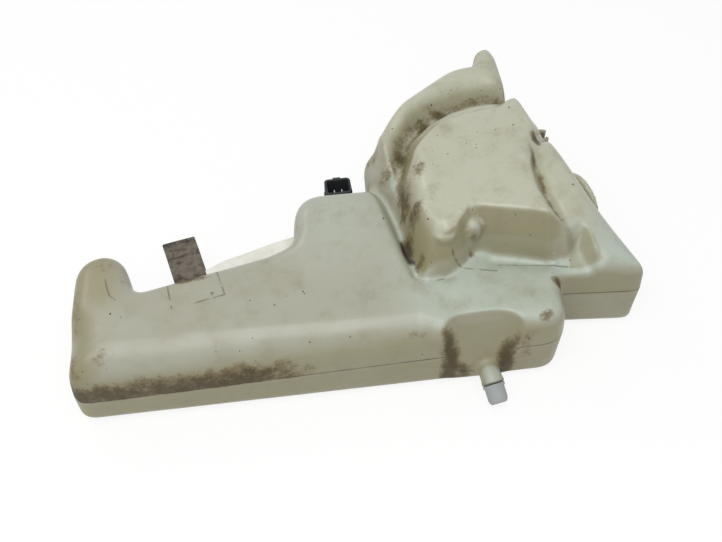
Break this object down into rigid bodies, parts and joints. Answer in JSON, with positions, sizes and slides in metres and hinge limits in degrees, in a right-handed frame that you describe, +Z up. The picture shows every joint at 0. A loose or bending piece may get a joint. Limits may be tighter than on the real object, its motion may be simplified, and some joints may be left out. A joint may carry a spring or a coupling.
{
  "type": "washer fluid reservoir",
  "caption": "Blow-moulded washer fluid reservoir with a long arm, a tall block, a filler collar, a bent hose spout and an electric pump in a recess.",
  "frame": {"origin": "datum on the flat back of the tank, in front of the pump recess", "axes": "+X along the arm towards the tall block, +Y towards the rear edge with the pump, +Z up out of the broad face"},
  "size_m": [0.4519, 0.3055, 0.1233],
  "materials": {
    "tank_plastic": "aged cream polyethylene, satin, slightly translucent, soiled",
    "fitting_plastic": "blue-grey moulded plastic",
    "grommet_rubber": "black rubber",
    "strainer_plastic": "natural moulded plastic",
    "pump_plastic": "black glass-filled plastic, satin",
    "bush_bronze": "plain",
    "steel": "plain steel",
    "copper": "copper",
    "ferrite": "dark sintered ferrite",
    "card": "phenolic card",
    "carbon": "pressed carbon"
  },
  "bodies": {
    "tank_body": {"tank": "tank_plastic", "hose_fitting": "fitting_plastic", "pump_grommet": "grommet_rubber", "inlet_strainer": "strainer_plastic", "pump_base": "pump_plastic", "volute_plate": "pump_plastic", "shaft_seal": "grommet_rubber", "lower_bush": "bush_bronze", "upper_bush": "bush_bronze", "motor_can": "steel", "magnets": "ferrite", "brush_card": "card", "brushes": "carbon", "terminals": "bush_bronze", "motor_cover": "pump_plastic"},
    "rotor": {"motor_shaft": "steel", "armature_core": "steel", "armature_windings": "copper", "commutator": "copper", "impeller": "strainer_plastic"}
  },
  "joints": [
    {"name": "rotor_spin", "type": "hinge", "parent": "tank_body", "child": "rotor", "pos_m": [-0.0065, 0.023, 0.03], "axis": [0, 1, 0], "continuous": true}
  ]
}
